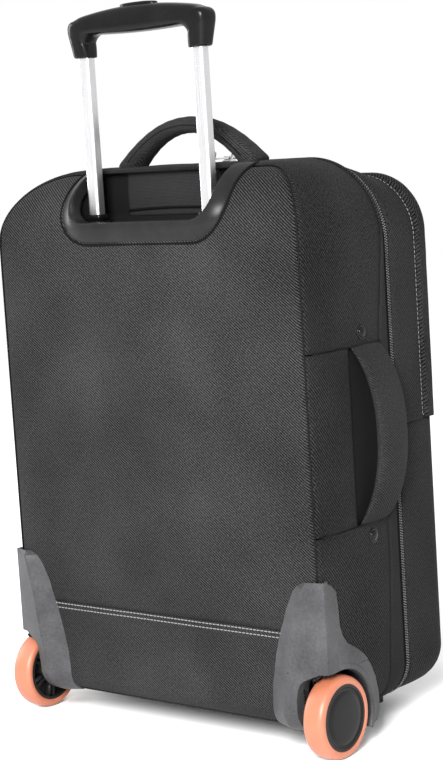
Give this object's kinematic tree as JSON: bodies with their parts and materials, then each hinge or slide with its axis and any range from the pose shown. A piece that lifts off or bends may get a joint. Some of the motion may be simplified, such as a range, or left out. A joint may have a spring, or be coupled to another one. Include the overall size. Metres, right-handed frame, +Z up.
{
  "type": "rolling laptop case",
  "caption": "Upright two-wheeled rolling laptop case with a telescopic trolley handle, a hinged front half, a pocket flap, carry handles, corner guards and soft tyres.",
  "frame": {"origin": "on the floor, under the middle of the object's bounding box", "axes": "+Z up; -Y is the front with the pockets; +Y is the back with the wheels and the trolley handle; +X is the side with the strip pocket, -X the side with the side handle"},
  "size_m": [0.417, 0.2377, 0.709],
  "materials": {
    "twill": "diagonal twill weave, matte",
    "smooth_fabric": "fine plain weave, matte",
    "webbing": "padded fabric over webbing",
    "zip_tape": "ribbed tape",
    "rim_plastic": "satin moulded",
    "lining": "smooth lining",
    "board": "sheet",
    "aluminium_tube": "brushed anodised",
    "guard_plastic": "fine moulded grain",
    "steel": "zinc plated",
    "foot_rubber": "matte",
    "tyre": "satin polyurethane",
    "hub_plastic": "satin",
    "rivet_black": "glossy black enamel",
    "zip_metal": "polished nickel"
  },
  "bodies": {
    "case": {"back_panel": "twill", "kick_panel": "twill", "top_gusset": "smooth_fabric", "left_side_panel": "smooth_fabric", "right_side_panel": "smooth_fabric", "bottom_gusset": "smooth_fabric", "handle_rim": "rim_plastic", "recess_lining": "lining", "backboard": "board", "back_lining": "lining", "base_tray": "board", "rear_zip_tape": "zip_tape", "hinge_strip": "zip_tape", "outer_tubes": "aluminium_tube", "outer_collars": "rim_plastic", "trolley_bracket": "guard_plastic", "bracket_screws": "steel", "wheel_housing_left": "guard_plastic", "wheel_housing_right": "guard_plastic", "housing_screws": "steel", "axle_left": "steel", "axle_right": "steel", "axle_nuts": "steel", "grab_handle": "webbing", "side_handle": "webbing", "side_handle_backing": "zip_tape", "handle_rivets": "rivet_black", "side_pocket": "smooth_fabric"},
    "middle_stage": {"middle_tubes": "aluminium_tube", "middle_collars": "rim_plastic", "middle_plugs": "guard_plastic"},
    "handle": {"inner_tubes": "aluminium_tube", "inner_plugs": "guard_plastic", "grip_body": "rim_plastic", "grip_cover": "rim_plastic", "grip_screws": "steel"},
    "button": {"release_button": "rim_plastic", "release_rods": "steel"},
    "wheel_left": {"tyre_left": "tyre", "wheel_core_left": "hub_plastic", "hub_cap_left": "guard_plastic", "bearings_left": "steel"},
    "wheel_right": {"tyre_right": "tyre", "wheel_core_right": "hub_plastic", "hub_cap_right": "guard_plastic", "bearings_right": "steel"},
    "front_half": {"front_gusset": "smooth_fabric", "front_divider": "lining", "laptop_sleeve": "lining", "lower_front_gusset": "smooth_fabric", "lower_front_panel": "twill", "front_feet": "foot_rubber", "foot_screws": "steel"},
    "pocket_flap": {"flap_gusset": "smooth_fabric", "flap_panel": "twill"},
    "slider_left": {"main_slider_left": "zip_metal"},
    "pull_left": {"main_pull_left": "zip_metal"},
    "slider_right": {"main_slider_right": "zip_metal"},
    "pull_right": {"main_pull_right": "zip_metal"}
  },
  "joints": [
    {"name": "middle_stage_slide", "type": "slide", "parent": "case", "child": "middle_stage", "axis": [0, 0, 1], "range_m": [0, 0.225]},
    {"name": "handle_slide", "type": "slide", "parent": "middle_stage", "child": "handle", "axis": [0, 0, 1], "range_m": [-0.145, 0.07]},
    {"name": "release_button_press", "type": "slide", "parent": "handle", "child": "button", "axis": [0, 0, -1], "range_m": [0, 0.003], "stiffness_N_per_m": 900, "springref_m": -0.002},
    {"name": "wheel_left_spin", "type": "hinge", "parent": "case", "child": "wheel_left", "pos_m": [-0.1805, 0.07945, 0.0394], "axis": [1, 0, 0], "continuous": true},
    {"name": "wheel_right_spin", "type": "hinge", "parent": "case", "child": "wheel_right", "pos_m": [0.1995, 0.07945, 0.0394], "axis": [1, 0, 0], "continuous": true},
    {"name": "front_half_open", "type": "hinge", "parent": "case", "child": "front_half", "pos_m": [0.1995, -0.03585, 0.3], "axis": [0, 0, 1], "range_deg": [0, 115]},
    {"name": "pocket_flap_open", "type": "hinge", "parent": "front_half", "child": "pocket_flap", "pos_m": [0.0095, -0.11915, 0.293], "axis": [1, 0, 0], "range_deg": [0, 100]},
    {"name": "slider_left_slide", "type": "slide", "parent": "case", "child": "slider_left", "axis": [-1, 0, 0], "range_m": [0, 0.045]},
    {"name": "slider_right_slide", "type": "slide", "parent": "case", "child": "slider_right", "axis": [1, 0, 0], "range_m": [0, 0.095]},
    {"name": "pull_left_swing", "type": "hinge", "parent": "slider_left", "child": "pull_left", "pos_m": [-0.0305, -0.03365, 0.5566], "axis": [1, 0, 0], "range_deg": [0, 170]},
    {"name": "pull_right_swing", "type": "hinge", "parent": "slider_right", "child": "pull_right", "pos_m": [-0.0005, -0.03365, 0.5566], "axis": [1, 0, 0], "range_deg": [0, 170]}
  ]
}
